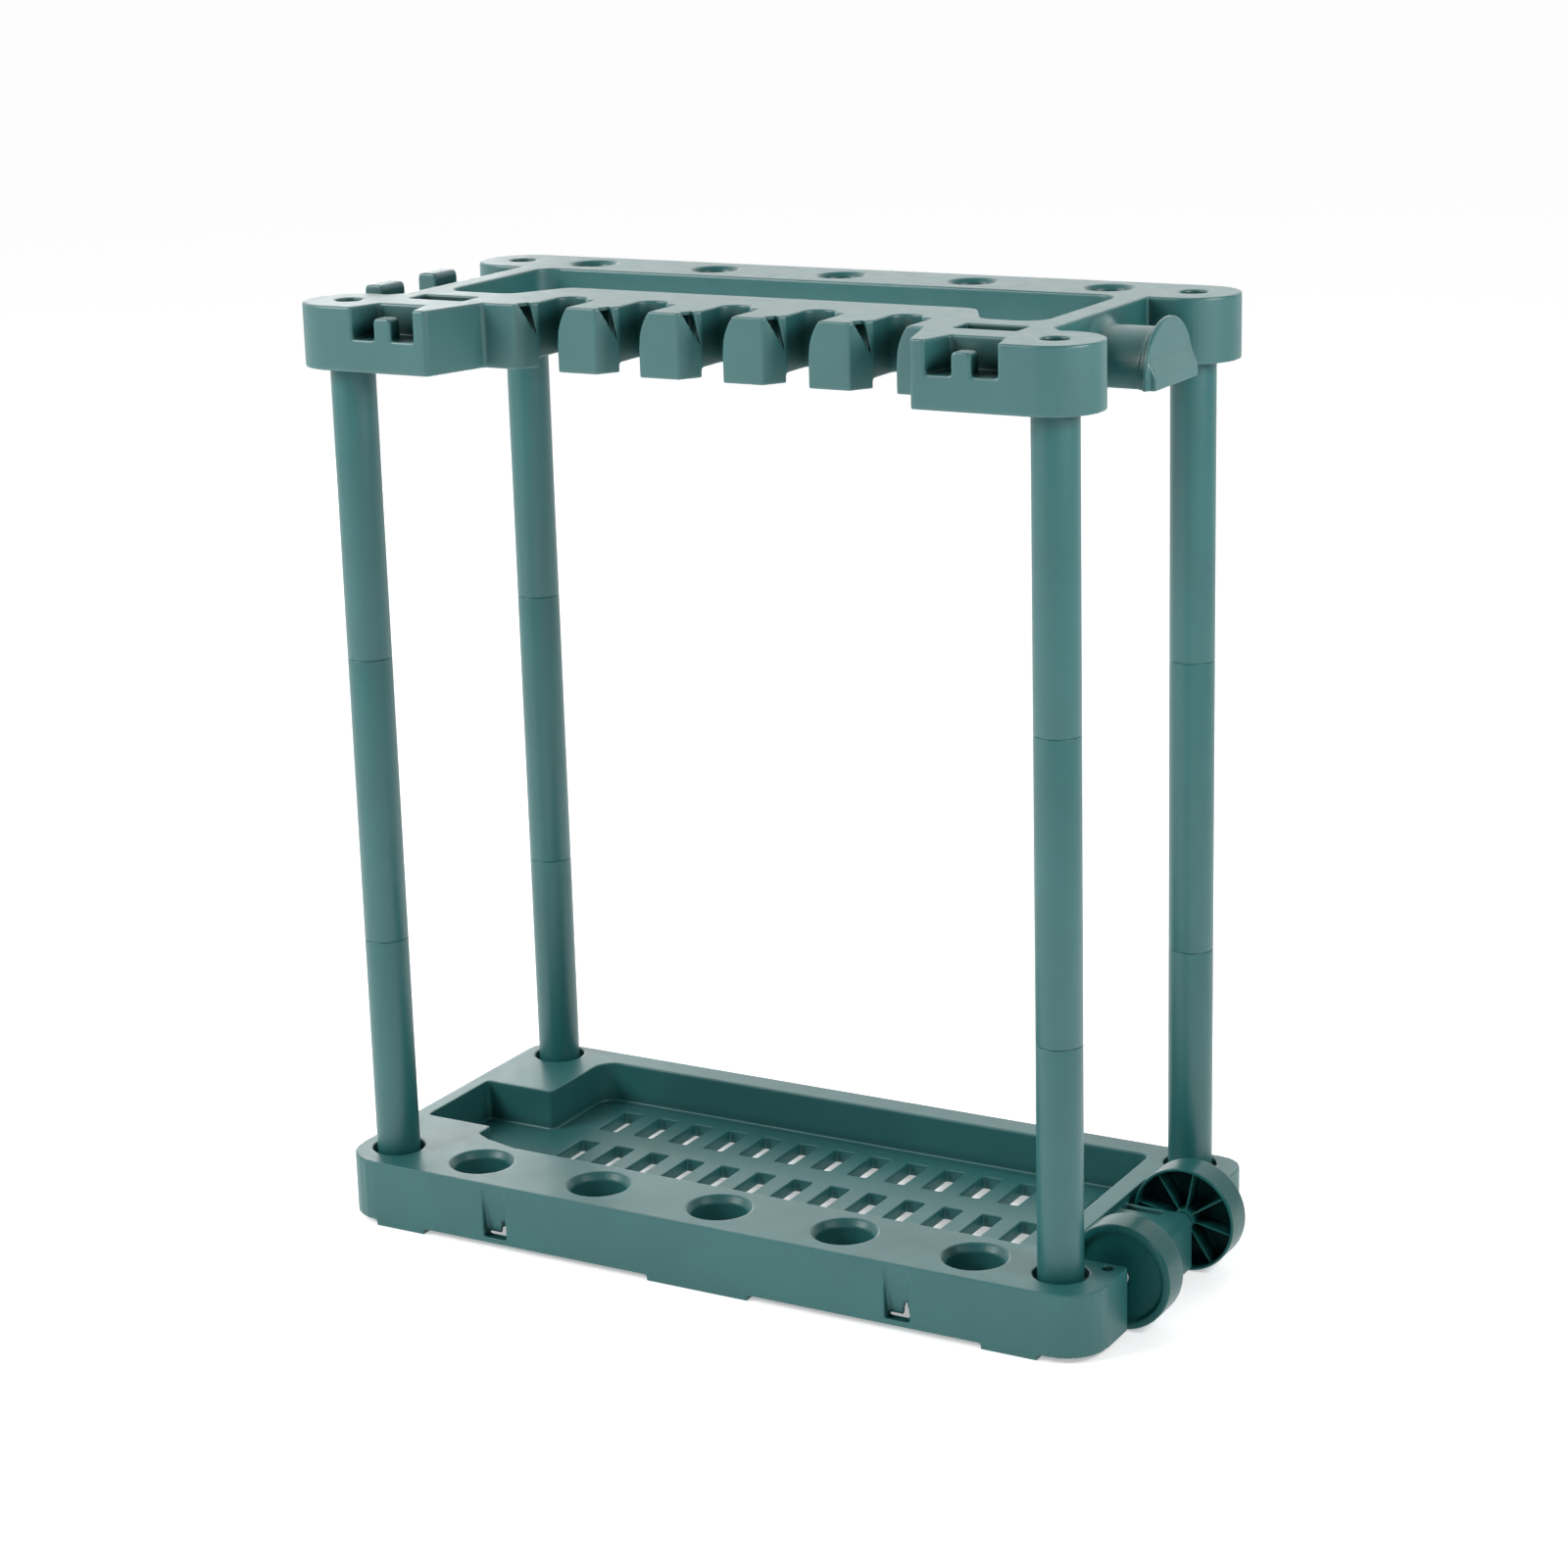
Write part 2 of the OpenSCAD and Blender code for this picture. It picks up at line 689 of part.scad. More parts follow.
module floor_slots(grow = 0) {
    first = floor_x - floor_pitch_x * (floor_cols - 1) / 2;
    for (i = [0 : floor_cols - 1], j = [0 : floor_rows - 1]) {
        translate([first + i * floor_pitch_x, floor_y + (j - (floor_rows - 1) / 2) * floor_pitch_y])
            square([floor_slot_w + 2 * grow, floor_slot_l + 2 * grow], center = true);
    }
}

module cup_places() {
    for (i = [0 : hole_count - 1]) {
        translate([cup_shift + (i - (hole_count - 1) / 2) * cup_pitch, -leg_y]) children();
    }
}

module clip_wedge(grow = 0) {
    low_z = skirt_z + clip_lip;
    rotate([0, 0, 90]) along_y(-clip_w / 2 - grow, clip_w / 2 + grow)
        polygon([[base_y0 - 1, base_h - 2 + grow], [base_y0 + grow, base_h - 2 + grow],
            [base_y0 + clip_d + grow, low_z - grow], [base_y0 - 1, low_z - grow]]);
}

module clip_places() {
    for (s = [-1, 1]) translate([s * clip_x, 0, 0]) children();
}

// Gap through the clip's foot, with a three-cornered end that rises beside it
module clip_gap() {
    low_z = skirt_z + clip_lip;
    lean = 1;
    left = -clip_w / 2 + lean;
    right = clip_w / 2 - clip_d / 2;
    along_y(base_y0 + lean, base_y0 + clip_d + 2 * base_wall)
        polygon([[left, low_z], [right, low_z], [right - lean, low_z + clip_gap_h],
            [right - lean - clip_gap_w, low_z + clip_gap_t], [left, low_z + clip_gap_t]]);
}

module base_ribs() {
    for (s = [-0.5, 0.5]) {
        translate([base_x0, floor_y + s * floor_pitch_y - rib_wall / 2, skirt_z])
            cube([end_x - base_x0, rib_wall, base_h]);
    }
    for (i = [-1, 0, 1]) {
        translate([floor_x + i * 4 * floor_pitch_x - rib_wall / 2, base_y0, skirt_z])
            cube([rib_wall, base_y1 - base_y0, base_h]);
    }
}

module base_socket_solid() {
    translate([0, 0, leg_seat_z - seat_t]) cylinder(d = tube_d + 2 * leg_gap + 2 * base_wall, h = base_h);
    translate([0, 0, base_h - leg_recess_h - base_wall])
        cylinder(d = leg_recess_d + 2 * base_wall, h = base_h);
}

module base_hollow() {
    difference() {
        union() {
            translate([0, 0, -1]) linear_extrude(height = base_h - base_wall + 1) difference() {
                offset(delta = -base_wall) base_plan();
                offset(delta = base_wall) tray_plan();
            }
            translate([0, 0, -1]) linear_extrude(height = tray_z - tray_floor_t + 1)
                offset(delta = -base_wall) base_plan();
        }
        at_legs() base_socket_solid();
        cup_places() translate([0, 0, cup_floor_z - base_wall]) cylinder(d = cup_rim_d, h = base_h);
        clip_places() clip_wedge(base_wall);
        base_ribs();
        translate([0, 0, tray_z - tray_floor_t - floor_collar_h])
            linear_extrude(height = base_h) floor_slots(floor_collar_t);
    }
}

module feet_plan() {
    foot = [for (s = [-1, 1]) [s * (leg_x - corner_foot_l / 2 - 2), corner_foot_l]];
    for (f = concat(foot, [[(foot[0].x + foot[1].x) / 2 + cup_shift, middle_foot_l]])) {
        translate([f.x - f.y / 2, base_y0]) square([f.y, foot_w]);
        translate([f.x - f.y / 2, base_y1 - foot_w]) square([f.y, foot_w]);
    }
}

module housing() {
    edge = housing_edge_r;
    y0 = -axle_shift - housing_len / 2;
    y1 = -axle_shift + housing_len / 2;
    difference() {
        along_y(y0, y1) polygon(rounded([[end_x - base_wall, skirt_z, 0], [housing_x, skirt_z, 0],
            [housing_x, housing_z, edge], [end_x - base_wall, housing_z, 0]]));
        for (i = [0 : 2]) {
            third = (housing_len - base_wall) / 3;
            along_y(y0 + base_wall + i * third, y0 + (i + 1) * third)
                polygon(rounded([[end_x, -1, 0], [housing_x - base_wall, -1, 0],
                    [housing_x - base_wall, housing_z - base_wall, edge - base_wall],
                    [end_x, housing_z - base_wall, 0]]));
        }
        translate([end_x, y1 - base_wall - strap_hole.y - 1, housing_z - base_wall - 1])
            cube([strap_hole.x, strap_hole.y, base_wall + 2]);
    }
}

module base_tray() {
    color(plastic) placed() difference() {
        union() {
            difference() {
                translate([0, 0, skirt_z]) linear_extrude(height = base_h - skirt_z) base_plan();
                base_hollow();
                translate([0, 0, tray_z]) linear_extrude(height = base_h) tray_plan();
                translate([0, 0, -1]) linear_extrude(height = base_h) floor_slots();
                clip_places() clip_wedge();
                clip_places() clip_gap();
            }
            at_legs() translate([0, 0, leg_seat_z - seat_t])
                cylinder(d = tube_d + 2 * leg_gap + 2 * base_wall, h = skirt_z);
            linear_extrude(height = skirt_z + 2 * base_wall) intersection() {
                base_plan();
                feet_plan();
            }
            housing();
        }
        at_legs() translate([0, 0, leg_seat_z]) cylinder(r = tube_d / 2 + leg_gap, h = base_h);
        at_legs() translate([0, 0, base_h - leg_recess_h]) cylinder(d = leg_recess_d, h = base_h);
        cup_places() translate([0, 0, cup_floor_z]) cylinder(d = cup_d, h = base_h);
        cup_places() translate([0, 0, base_h - cup_rim_h])
            cylinder(d1 = cup_d, d2 = cup_rim_d, h = cup_rim_h + eps);
        for (y = [bay_y0 - peg_hole_inset, bay_y1 + peg_hole_inset]) {
            translate([base_x1 - peg_hole_end, y, base_h - base_wall - 1])
                cylinder(d = peg_hole_d, h = base_wall + 2);
        }
        translate([axle_x, 0, axle_z]) rotate([90, 0, 0])
            cylinder(r = axle_r + housing_gap, h = leg_span_y, center = true);
    }
}

module axle_rod() {
    color(steel) placed() translate([axle_x, rear_wheel_y + axle_end, axle_z]) rotate([90, 0, 0])
        cylinder(r = axle_r, h = rear_wheel_y - front_wheel_y + 2 * axle_end);
}

// A wheel on the Z axis: the open side with the ribs is at Z = 0, the dished face at the top
module wheel_body() {
    web_z = wheel_w - dish_d - web_t;
    edge = 2;
    ring_in = wheel_r - dish_ring;
    difference() {
        union() {
            rotate_extrude() polygon(rounded([[0, web_z, 0], [wheel_r - rim_t, web_z, 0],
                [wheel_r - rim_t, 0, 0], [wheel_r, 0, edge / 2], [wheel_r, wheel_w, edge],
                [ring_in + 1, wheel_w, edge / 2], [ring_in - 1, wheel_w - dish_d, 1],
                [0, wheel_w - dish_d, 0]]));
            cylinder(r = hub_r, h = wheel_w - dish_d - eps);
            for (i = [0 : rib_count - 1]) {
                rotate([0, 0, i * 360 / rib_count + rib_turn]) translate([0, -rib_t / 2, rib_setback])
                    cube([wheel_r - rim_t / 2, rib_t, web_z - rib_setback + eps]);
            }
        }
        translate([0, 0, -1]) cylinder(r = axle_r + wheel_gap, h = wheel_w + 2);
    }
}

module cap_body() {
    difference() {
        cylinder(r = cap_r, h = cap_t);
        translate([0, 0, -1]) cylinder(r = axle_r + cap_fit, h = cap_t);
    }
}

module facing_front(y) {
    translate([axle_x, y, axle_z]) rotate([90, 0, 0]) children();
}

module facing_back(y) {
    translate([axle_x, y, axle_z]) rotate([-90, 0, 0]) children();
}

module wheel_front() {
    color(plastic_dark) placed() facing_front(front_wheel_y) wheel_body();
}

module wheel_rear() {
    color(plastic_dark) placed() facing_back(rear_wheel_y) wheel_body();
}

module axle_cap_front() {
    color(steel) placed() facing_front(front_wheel_y - cap_seat) cap_body();
}

module axle_cap_rear() {
    color(steel) placed() facing_back(rear_wheel_y + cap_seat) cap_body();
}

top_rack();
leg_section(-leg_x, -leg_y, 0);  // leg_front_left_lower
leg_section(-leg_x, -leg_y, 1);  // leg_front_left_middle
leg_section(-leg_x, -leg_y, 2);  // leg_front_left_upper
leg_section(-leg_x, leg_y, 0);  // leg_back_left_lower
leg_section(-leg_x, leg_y, 1);  // leg_back_left_middle
leg_section(-leg_x, leg_y, 2);  // leg_back_left_upper
leg_section(leg_x, -leg_y, 0);  // leg_front_right_lower
leg_section(leg_x, -leg_y, 1);  // leg_front_right_middle
leg_section(leg_x, -leg_y, 2);  // leg_front_right_upper
leg_section(leg_x, leg_y, 0);  // leg_back_right_lower
leg_section(leg_x, leg_y, 1);  // leg_back_right_middle
leg_section(leg_x, leg_y, 2);  // leg_back_right_upper
leg_screws();
base_tray();
axle_rod();
wheel_front();
wheel_rear();
axle_cap_front();
axle_cap_rear();
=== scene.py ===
"""Looks of the garden tool rack: satin teal mouldings, tube legs, wheels, steel screws and studio light.

All lengths are in metres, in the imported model's frame: +X towards the wheels, -Y the front, +Z up.
"""

import math

import bmesh
import bpy
from mathutils import Matrix, Vector


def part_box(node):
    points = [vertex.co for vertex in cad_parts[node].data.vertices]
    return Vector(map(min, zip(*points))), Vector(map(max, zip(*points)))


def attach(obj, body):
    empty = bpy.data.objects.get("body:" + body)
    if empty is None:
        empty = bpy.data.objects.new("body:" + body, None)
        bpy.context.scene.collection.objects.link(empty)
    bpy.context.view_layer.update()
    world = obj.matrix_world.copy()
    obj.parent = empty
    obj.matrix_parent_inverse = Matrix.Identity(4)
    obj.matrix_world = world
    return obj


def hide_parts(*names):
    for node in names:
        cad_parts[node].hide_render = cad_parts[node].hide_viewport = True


MM = 0.001

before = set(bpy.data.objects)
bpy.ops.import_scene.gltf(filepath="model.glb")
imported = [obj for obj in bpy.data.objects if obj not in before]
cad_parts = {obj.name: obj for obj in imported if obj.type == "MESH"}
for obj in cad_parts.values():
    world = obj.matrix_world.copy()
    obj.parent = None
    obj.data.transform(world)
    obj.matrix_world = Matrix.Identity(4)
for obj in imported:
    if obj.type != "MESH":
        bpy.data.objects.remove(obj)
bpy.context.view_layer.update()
scene = bpy.context.scene


# Camera

LENS_MM = 81.77
SENSOR_MM = 36.0
CAMERA_PLACE = Vector((1.4375, -2.5450, 1.2195))
CAMERA_TURN = math.radians(-29.676)
CAMERA_TILT = math.radians(-15.637)
CAMERA_ROLL = math.radians(-1.582)
CLIP_START = 0.05
CLIP_END = 50


def make_camera():
    """The photograph's view: right and up are turned about the line of sight by the roll."""
    sight = Vector((
        math.sin(CAMERA_TURN) * math.cos(CAMERA_TILT),
        math.cos(CAMERA_TURN) * math.cos(CAMERA_TILT),
        math.sin(CAMERA_TILT),
    ))
    level = Vector((math.cos(CAMERA_TURN), -math.sin(CAMERA_TURN), 0))
    upright = level.cross(sight)
    right = level * math.cos(CAMERA_ROLL) + upright * math.sin(CAMERA_ROLL)
    up = upright * math.cos(CAMERA_ROLL) - level * math.sin(CAMERA_ROLL)
    data = bpy.data.cameras.new("camera")
    data.lens = LENS_MM
    data.sensor_width = SENSOR_MM
    data.clip_start = CLIP_START
    data.clip_end = CLIP_END
    camera = bpy.data.objects.new("camera", data)
    scene.collection.objects.link(camera)
    rows = (right, up, -sight)
    turn = Matrix([[row[i] for row in rows] for i in range(3)]).to_4x4()
    camera.matrix_world = Matrix.Translation(CAMERA_PLACE) @ turn
    scene.camera = camera


# Materials

TEAL = (0.018, 0.109, 0.109, 1)
TEAL_LEG = (0.012, 0.104, 0.105, 1)
TEAL_WHEEL = (0.008, 0.080, 0.077, 1)
ZINC = (0.60, 0.61, 0.62, 1)
ZINC_CAP = (0.52, 0.53, 0.54, 1)
BLACK = (0, 0, 0, 1)
WHITE = (1, 1, 1, 1)

# Painted shade in recesses: how far a recess may be from its walls and still have shade painted into its
# colour and reflection, at two heights of the object
CAVITY_LOW_Z = 200 * MM
CAVITY_HIGH_Z = 700 * MM
CAVITY_REACH_LOW = 22 * MM
CAVITY_REACH_HIGH = 80 * MM
PAINTED_CAVITY_SHADE = 0.12
CAVITY_CLOSED = 0.25
CAVITY_OPEN = 0.75
CAVITY_SAMPLES = 8

# The plastic's clouds, flow marks, sheen and grain; a scale is in repeats per metre
CLOUD_SCALE = 14
CLOUD_RANGE = (0.3, 0.72)
CLOUD_SHADES = (0.93, 1.08)
FLOW_SCALE = 22
FLOW_STRENGTH = 0.12
FLOW_DEPTH = 1.2 * MM
SHEEN_SCALE = 60
SHEEN_RANGE = (-0.05, 0.07)
GRAIN_SCALE = 2600
GRAIN_DEPTH = 0.2 * MM

# Painted highlight that lightens the plastic's edges, found by how sharply the surface bends
EDGE_HIGHLIGHT_RANGE = (0.53, 0.62)
EDGE_HIGHLIGHT_GAIN = 1.9
EDGE_HIGHLIGHT_STRENGTH = 0.22

# The steel's tarnish and turning marks
TARNISH_SCALE = 180
TARNISH_RANGE = (0.3, 0.75)
TARNISH_SHADES = (0.8, 1.1)
TARNISH_GLOSS = (-0.08, 0.12)
MARK_SCALE = 900
MARK_STRENGTH = 0.15
MARK_DEPTH = 0.1 * MM

# The sockets of a colour mixer, which Blender tells apart by number only
MIX_FIRST = 6
MIX_SECOND = 7
MIX_RESULT = 2


def new_material(name):
    """An empty material with its shader, and short helpers for adding and joining nodes."""
    material = bpy.data.materials.new(name)
    material.use_nodes = True
    tree = material.node_tree
    shader = tree.nodes["Principled BSDF"]

    def add(kind, **values):
        made = tree.nodes.new(kind)
        for key, value in values.items():
            if hasattr(made, key):
                setattr(made, key, value)
            else:
                made.inputs[key].default_value = value
        return made

    def join(source, output, target, socket):
        tree.links.new(source.outputs[output], target.inputs[socket])

    return material, shader, add, join


def colour_ramp(add, places, colours):
    """A colour ramp with one colour at each of its two places."""
    ramp = add("ShaderNodeValToRGB")
    for stop, place, colour in zip(ramp.color_ramp.elements, places, colours):
        stop.position = place
        stop.color = colour
    return ramp


def scaled(colour, factor):
    """The colour made darker or lighter by a factor."""
    return tuple(c * factor for c in colour[:3]) + (1,)


def shades(colour, factors):
    """The colour at several factors, darkest first."""
    return [scaled(colour, factor) for factor in factors]


def map_range(add, **values):
    """A node that maps one range to another; the values are its sockets, with _ for a space."""
    made = add("ShaderNodeMapRange")
    for key, value in values.items():
        made.inputs[key.replace("_", " ")].default_value = value
    return made


def times(add, join, source, output, factor):
    """A node that multiplies an output by a number."""
    made = add("ShaderNodeMath", operation="MULTIPLY")
    made.inputs[1].default_value = factor
    join(source, output, made, 0)
    return made


def cloudy_colour_with_edge_highlight(add, join, place, colour):
    """The colour with soft clouds, and a painted highlight that lightens it along sharply bent edges."""
    cloud = add("ShaderNodeTexNoise", Scale=CLOUD_SCALE, Detail=4.0, Roughness=0.55)
    join(place, "Object", cloud, "Vector")
    shade = colour_ramp(add, CLOUD_RANGE, shades(colour, CLOUD_SHADES))
    join(cloud, "Fac", shade, "Fac")
    # Painted highlight: sharply bent convex edges are made lighter
    bend = add("ShaderNodeNewGeometry")
    edge = colour_ramp(add, EDGE_HIGHLIGHT_RANGE, (BLACK, WHITE))
    join(bend, "Pointiness", edge, "Fac")
    strength = times(add, join, edge, "Color", EDGE_HIGHLIGHT_STRENGTH)
    edge_highlighted_colour = add("ShaderNodeMix", data_type="RGBA")
    join(strength, 0, edge_highlighted_colour, "Factor")
    join(shade, "Color", edge_highlighted_colour, MIX_FIRST)
    edge_highlighted_colour.inputs[MIX_SECOND].default_value = scaled(colour, EDGE_HIGHLIGHT_GAIN)
    return edge_highlighted_colour


def painted_recess_shade(add, join, place):
    """Painted shade: 1 on an open face, and down to the cavity shade in a recess near its walls."""
    split = add("ShaderNodeSeparateXYZ")
    join(place, "Object", split, "Vector")
    reach = map_range(
        add, From_Min=CAVITY_LOW_Z, From_Max=CAVITY_HIGH_Z, To_Min=CAVITY_REACH_LOW, To_Max=CAVITY_REACH_HIGH
    )
    join(split, "Z", reach, "Value")
    shut_in = add("ShaderNodeAmbientOcclusion", samples=CAVITY_SAMPLES, only_local=True)
    join(reach, "Result", shut_in, "Distance")
    # Painted shade: the occlusion becomes a factor that darkens the colour
    light = map_range(add, From_Min=CAVITY_CLOSED, From_Max=CAVITY_OPEN, To_Min=PAINTED_CAVITY_SHADE, To_Max=1)
    join(shut_in, "AO", light, "Value")
    return light


def satin_relief(add, join, place, grain):
    """Faint flow marks under a fine grain."""
    flow = add("ShaderNodeTexNoise", Scale=FLOW_SCALE, Detail=1.0)
    join(place, "Object", flow, "Vector")
    soft = add("ShaderNodeBump", Strength=FLOW_STRENGTH, Distance=FLOW_DEPTH)
    join(flow, "Fac", soft, "Height")
    fine = add("ShaderNodeTexNoise", Scale=GRAIN_SCALE, Detail=2.0)
    join(place, "Object", fine, "Vector")
    bump = add("ShaderNodeBump", Strength=grain, Distance=GRAIN_DEPTH)
    join(fine, "Fac", bump, "Height")
    join(soft, "Normal", bump, "Normal")
    return bump


def moulded_plastic(name, colour, roughness, specular, grain=0.05):
    """Satin injection-moulded plastic: cloudy colour, flow marks, grain, a painted highlight on bent edges
    and painted shade in recesses.
    """
    material, shader, add, join = new_material(name)
    place = add("ShaderNodeTexCoord")
    edge_highlighted_colour = cloudy_colour_with_edge_highlight(add, join, place, colour)
    light = painted_recess_shade(add, join, place)
    # Painted shade: the cloudy colour is darkened in recesses
    colour_with_painted_shade = add("ShaderNodeMix", data_type="RGBA", blend_type="MULTIPLY")
    colour_with_painted_shade.inputs["Factor"].default_value = 1.0
    join(edge_highlighted_colour, MIX_RESULT, colour_with_painted_shade, MIX_FIRST)
    join(light, "Result", colour_with_painted_shade, MIX_SECOND)
    join(colour_with_painted_shade, MIX_RESULT, shader, "Base Color")
    # Painted shade: the reflection is dimmed in recesses as well
    join(times(add, join, light, "Result", specular), 0, shader, "Specular IOR Level")

    sheen = add("ShaderNodeTexNoise", Scale=SHEEN_SCALE, Detail=3.0)
    join(place, "Object", sheen, "Vector")
    gloss = map_range(add, To_Min=roughness + SHEEN_RANGE[0], To_Max=roughness + SHEEN_RANGE[1])
    join(sheen, "Fac", gloss, "Value")
    join(gloss, "Result", shader, "Roughness")
    join(satin_relief(add, join, place, grain), "Normal", shader, "Normal")
    return material


def plated_steel(name, colour, roughness):
    """Plated steel with fine turning marks and cloudy tarnish."""
    material, shader, add, join = new_material(name)
    place = add("ShaderNodeTexCoord")
    cloud = add("ShaderNodeTexNoise", Scale=TARNISH_SCALE, Detail=4.0)
    join(place, "Object", cloud, "Vector")
    shade = colour_ramp(add, TARNISH_RANGE, shades(colour, TARNISH_SHADES))
    join(cloud, "Fac", shade, "Fac")
    join(shade, "Color", shader, "Base Color")
    gloss = map_range(add, To_Min=roughness + TARNISH_GLOSS[0], To_Max=roughness + TARNISH_GLOSS[1])
    join(cloud, "Fac", gloss, "Value")
    join(gloss, "Result", shader, "Roughness")
    marks = add("ShaderNodeTexNoise", Scale=MARK_SCALE, Detail=2.0)
    join(place, "Object", marks, "Vector")
    bump = add("ShaderNodeBump", Strength=MARK_STRENGTH, Distance=MARK_DEPTH)
    join(marks, "Fac", bump, "Height")
    join(bump, "Normal", shader, "Normal")
    shader.inputs["Metallic"].default_value = 1.0
    return material


rack_plastic = moulded_plastic("rack_plastic", TEAL, roughness=0.40, specular=0.8)
base_plastic = moulded_plastic("base_plastic", TEAL, roughness=0.42, specular=0.5)
leg_plastic = moulded_plastic("leg_plastic", TEAL_LEG, roughness=0.38, specular=0.65, grain=0.03)
wheel_plastic = moulded_plastic("wheel_plastic", TEAL_WHEEL, roughness=0.28, specular=0.2)
steel = plated_steel("zinc_steel", ZINC, roughness=0.34)
cap_steel = plated_steel("cap_steel", ZINC_CAP, roughness=0.38)


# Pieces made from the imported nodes' own shapes

def finished(made, body, material, slot, *nodes):
    """Gives a piece its material and its body, and hides the imported nodes it stands for; the slot is not
    used.
    """
    made.data.materials.clear()
    made.data.materials.append(material)
    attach(made, body)
    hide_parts(*nodes)
    return made


def linked(name, work):
    """An object in the scene with the shape that was worked on, which is freed."""
    mesh = bpy.data.meshes.new(name)
    work.to_mesh(mesh)
    work.free()
    made = bpy.data.objects.new(name, mesh)
    scene.collection.objects.link(made)
    return made


def modified_mesh(source):
    """A new mesh with the shape that the object's modifiers give."""
    graph = bpy.context.evaluated_depsgraph_get()
    return bpy.data.meshes.new_from_object(source.evaluated_get(graph))


def smooth(mesh):
    """Shades all faces of the mesh smoothly."""
    mesh.polygons.foreach_set("use_smooth", [True] * len(mesh.polygons))


SMOOTHING = 0.5


def moulded(node, name, voxel, passes, keep):
    """The node's shape with all its edges softened, as a moulding has them.

    The solid is resampled on a grid of voxels, smoothed a few passes and thinned out until only
    the share of its faces named by keep is left.
    """
    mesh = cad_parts[node].data.copy()
    rough = bpy.data.objects.new(name + "_rough", mesh)
    scene.collection.objects.link(rough)
    grid = rough.modifiers.new("grid", "REMESH")
    grid.mode = "VOXEL"
    grid.voxel_size = voxel
    grid.use_smooth_shade = True
    soft = rough.modifiers.new("soft", "SMOOTH")
    soft.factor = SMOOTHING
    soft.iterations = passes
    thin = rough.modifiers.new("thin", "DECIMATE")
    thin.ratio = keep
    made = bpy.data.objects.new(name, modified_mesh(rough))
    made.data.name = name
    scene.collection.objects.link(made)
    bpy.data.objects.remove(rough)
    smooth(made.data)
    return made


# Sizes of the handle slots and of the windows in their bevels, as the part's source has them
SLOT_COUNT = 5
SLOT_PITCH = 78 * MM
SLOT_WIDTH = 29 * MM
SLOT_SHIFT = 9.5 * MM
FINGER_FACE_Y = -113 * MM
BEVEL_WIDTH = 12 * MM
BEVEL_DEPTH = 18 * MM
WINDOW_NEAR = 3.5 * MM
WINDOW_FAR = 14 * MM
WINDOW_TIP = 19.25 * MM
WINDOW_HEIGHT = 25 * MM

# Added to a place measured from the middle of the four legs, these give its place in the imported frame
PACKED_SHIFT_X = -19 * MM
PACKED_SHIFT_Y = 1.75 * MM

# How far the hooks rise over the deck, and how far a cutter goes past the deck and the bevel's wall
HOOK_RISE = 4 * MM
CUT_ABOVE = 3 * MM
CUT_OUTSIDE = 3 * MM
CUT_INSIDE = 5 * MM

# The bevelled rim of a window, and its share at each corner
WINDOW_RIM = 1.5 * MM
RIM_NEAR = 1.4
RIM_FAR = 0.3
RIM_BELOW = 1.2


def window_outline(deck, rim):
    """The window's three corners (along the bevel, height), widened for its bevelled rim."""
    return (
        (WINDOW_NEAR - RIM_NEAR * rim, deck + CUT_ABOVE),
        (WINDOW_FAR + RIM_FAR * rim, deck + CUT_ABOVE),
        (WINDOW_TIP + RIM_FAR * rim, deck - WINDOW_HEIGHT - RIM_BELOW * rim),
    )


def add_window_cutter(work, corner, along, inward, deck):
    """Adds a closed three-sided cutter that is wider at the bevel's face, for the bevelled rim."""
    layers = ((-CUT_OUTSIDE, WINDOW_RIM), (0, WINDOW_RIM), (WINDOW_RIM, 0), (CUT_INSIDE, 0))
    rings = []
    for depth, rim in layers:
        rings.append([
            work.verts.new(corner + along * x + inward * depth + Vector((0, 0, z)))
            for x, z in window_outline(deck, rim)
        ])
    for a, b in zip(rings, rings[1:]):
        for j in range(3):
            k = (j + 1) % 3
            work.faces.new((a[j], a[k], b[k], b[j]))
    work.faces.new(rings[0][::-1])
    work.faces.new(rings[-1])


def window_cutters():
    """One object with a cutter for the window in each slot's bevel."""
    work = bmesh.new()
    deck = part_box("top_rack")[1].z - HOOK_RISE
    along = Vector((BEVEL_WIDTH, BEVEL_DEPTH, 0)).normalized()
    inward = Vector((-along.y, along.x, 0))
    first_x = SLOT_SHIFT - SLOT_PITCH * (SLOT_COUNT - 1) / 2 + PACKED_SHIFT_X
    for i in range(SLOT_COUNT):
        corner_x = first_x + i * SLOT_PITCH - SLOT_WIDTH / 2 - BEVEL_WIDTH
        corner = Vector((corner_x, FINGER_FACE_Y + PACKED_SHIFT_Y, 0))
        add_window_cutter(work, corner, along, inward, deck)
    bmesh.ops.recalc_face_normals(work, faces=work.faces)
    return linked("window_cutters", work)


def cut_windows(rack):
    """Cuts the three-cornered windows clean, because the smoothing closes their narrow tips."""
    cutters = window_cutters()
    cut = rack.modifiers.new("windows", "BOOLEAN")
    cut.operation = "DIFFERENCE"
    cut.solver = "EXACT"
    cut.object = cutters
    rack.data = modified_mesh(rack)
    rack.modifiers.clear()
    bpy.data.objects.remove(cutters)


# Voxel sizes of the two large mouldings and of the wheels
GRID = 1.0 * MM
WHEEL_GRID = 0.6 * MM

grid_size = GRID
top_rack = moulded("top_rack", "top_rack_moulding", voxel=grid_size, passes=9, keep=0.2)
cut_windows(top_rack)
finished(top_rack, "frame", rack_plastic, "rack_plastic", "top_rack")
base_tray = moulded("base_tray", "base_tray_moulding", voxel=grid_size, passes=8, keep=0.2)
finished(base_tray, "frame", base_plastic, "rack_plastic", "base_tray")
for side in ("front", "rear"):
    wheel = moulded(f"wheel_{side}", f"wheel_{side}_moulding", voxel=WHEEL_GRID, passes=4, keep=0.25)
    finished(wheel, f"wheel_{side}", wheel_plastic, "wheel_plastic", f"wheel_{side}")


# Turned pieces

SAME_POINT = 0.001 * MM
SAME_EDGE = 0.0001 * MM


